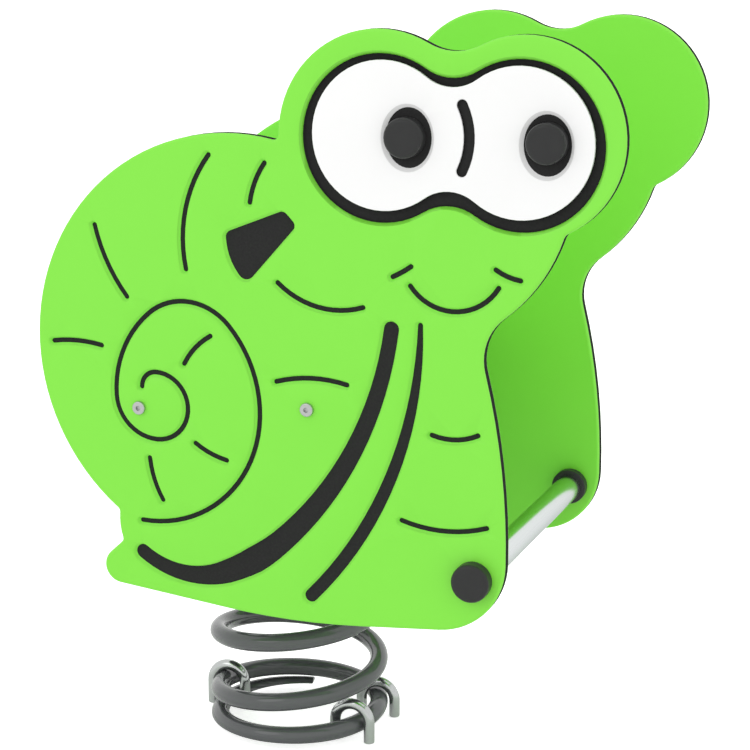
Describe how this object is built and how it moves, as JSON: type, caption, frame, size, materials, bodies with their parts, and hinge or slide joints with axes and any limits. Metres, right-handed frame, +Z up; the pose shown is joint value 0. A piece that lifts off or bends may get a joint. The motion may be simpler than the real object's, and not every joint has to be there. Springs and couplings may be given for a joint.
{
  "type": "spring rider",
  "caption": "Snail-shaped spring rider: routed sheet panels joined by a seat frame, handle bar and foot bar, rocking on a coil spring that clamps to a ground anchor.",
  "frame": {"origin": "on the spring's axis at ground level, where the rider's anchor lies", "axes": "+X the way the snail faces, +Y to its left, +Z up along the spring's axis"},
  "size_m": [0.618, 0.41, 0.7885],
  "materials": {
    "spring_paint": "gloss",
    "galvanised": "satin",
    "frame_paint": "satin",
    "fastener_steel": "satin",
    "sheet_green": "satin",
    "sheet_white": "satin",
    "bar_steel": "satin",
    "black_plastic": "satin"
  },
  "bodies": {
    "ground_mount": {"lower_clamp_front_right": "galvanised", "lower_clamp_front_left": "galvanised", "lower_clamp_rear": "galvanised"},
    "spring": {"main_spring": "spring_paint"},
    "rider": {"upper_clamp_rear": "galvanised", "upper_clamp_front": "galvanised", "upper_clamp_side": "galvanised", "upper_clamp_washers": "galvanised", "upper_clamp_nuts": "galvanised", "top_plate": "frame_paint", "rear_rail_saddles": "frame_paint", "front_rail_saddles": "frame_paint", "rear_seat_rail": "frame_paint", "front_seat_rail": "frame_paint", "rail_plugs": "fastener_steel", "panel_bolts": "fastener_steel", "seat_board": "sheet_green", "seat_screws": "fastener_steel", "right_side_panel": "sheet_green", "left_side_panel": "sheet_green", "right_eye_plate": "sheet_white", "left_eye_plate": "sheet_white", "handle_bar": "bar_steel", "foot_bar": "bar_steel", "right_handle_collar": "black_plastic", "left_handle_collar": "black_plastic", "right_foot_collar": "black_plastic", "left_foot_collar": "black_plastic", "right_handle_cap": "black_plastic", "left_handle_cap": "black_plastic", "right_foot_cap": "black_plastic", "left_foot_cap": "black_plastic", "right_eye_cap": "black_plastic", "left_eye_cap": "black_plastic", "cap_bases": "black_plastic", "bar_plugs": "fastener_steel", "bar_bolts": "fastener_steel", "eye_cap_screws": "fastener_steel"}
  },
  "joints": [
    {"name": "rock_fore_aft", "type": "hinge", "parent": "ground_mount", "child": "spring", "pos_m": [0, 0, 0.115], "axis": [0, 1, 0], "range_deg": [-25, 25], "stiffness_Nm_per_rad": 500, "springref_deg": -1.2, "deforming": ["main_spring"]},
    {"name": "rock_sideways", "type": "hinge", "parent": "spring", "child": "rider", "pos_m": [0, 0, 0.275], "axis": [1, 0, 0], "range_deg": [-20, 20], "stiffness_Nm_per_rad": 500, "deforming": ["main_spring"]}
  ]
}
